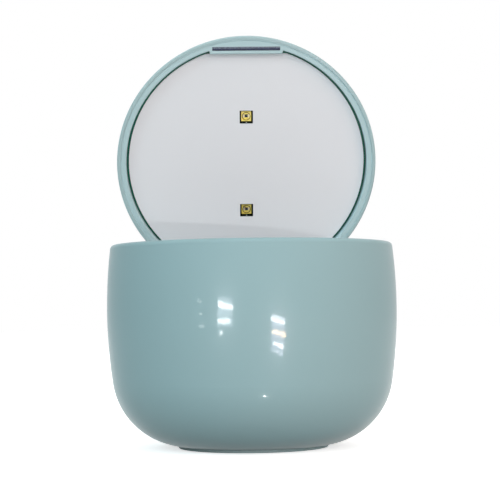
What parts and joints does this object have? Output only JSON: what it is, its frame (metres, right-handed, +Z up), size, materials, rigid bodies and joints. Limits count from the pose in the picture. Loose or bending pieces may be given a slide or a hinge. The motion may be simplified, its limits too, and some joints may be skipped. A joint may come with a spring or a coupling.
{
  "type": "uv sterilizer box",
  "caption": "Round pot with a steel bowl inside and a hinged domed lid; UV lamps behind windows in the lid's reflector treat small things put in the bowl, and a push button on top starts it.",
  "frame": {"origin": "centre of the foot pad's lower face, on the floor", "axes": "+Z up, -Y to the front of the pot, +Y to the hinge, +X to the right as seen from the front"},
  "size_m": [0.1024, 0.1265, 0.1526],
  "materials": {
    "pot_gloss": "gloss",
    "lid_gloss": "gloss",
    "frame_plastic": "satin gloss",
    "button_plastic": "gloss",
    "bowl_steel": "satin polished",
    "silicone": "matt",
    "magnet_nickel": "nickel plated",
    "latch_nickel": "dark nickel plated",
    "fastener_steel": "zinc plated",
    "reflector_sheet": "satin",
    "lamp_board": "black solder mask",
    "lamp_gold": "gold plated",
    "lamp_emitter": "dark",
    "quartz": "clear",
    "control_board": "green solder mask",
    "chip_black": "matt",
    "switch_plunger": "matt",
    "can_steel": "tin plated",
    "cell_foil": "laminate",
    "lead_jacket": "matt",
    "light_guide": "frosted"
  },
  "bodies": {
    "body": {"body_shell": "pot_gloss", "foot_pad": "silicone", "catch_magnet": "magnet_nickel", "bowl_gasket": "silicone", "inner_bowl": "bowl_steel", "hinge_bracket": "pot_gloss", "bracket_screws": "fastener_steel", "hinge_pin": "fastener_steel"},
    "lid": {"lid_cover": "lid_gloss", "lid_frame": "frame_plastic", "lid_screws": "fastener_steel", "latch_plate": "latch_nickel", "reflector_panel": "reflector_sheet", "led_board": "lamp_board", "front_lamp": "lamp_gold", "front_lamp_chip": "lamp_emitter", "front_lamp_lens": "quartz", "rear_lamp": "lamp_gold", "rear_lamp_chip": "lamp_emitter", "rear_lamp_lens": "quartz", "control_board": "control_board", "board_screws": "fastener_steel", "board_chips": "chip_black", "tilt_switch": "can_steel", "tact_switch": "chip_black", "usb_socket": "can_steel", "battery": "cell_foil", "battery_lead": "lead_jacket", "lamp_lead": "lead_jacket", "light_ring": "light_guide"},
    "button": {"power_button": "button_plastic", "switch_plunger": "switch_plunger"}
  },
  "joints": [
    {"name": "lid_hinge", "type": "hinge", "parent": "body", "child": "lid", "pos_m": [0, 0.0464, 0.055], "axis": [1, 0, 0], "range_deg": [0, 70.1]},
    {"name": "button_press", "type": "slide", "parent": "lid", "child": "button", "axis": [0, -0.9403, -0.3404], "range_m": [0, 0.0005], "stiffness_N_per_m": 1000}
  ]
}
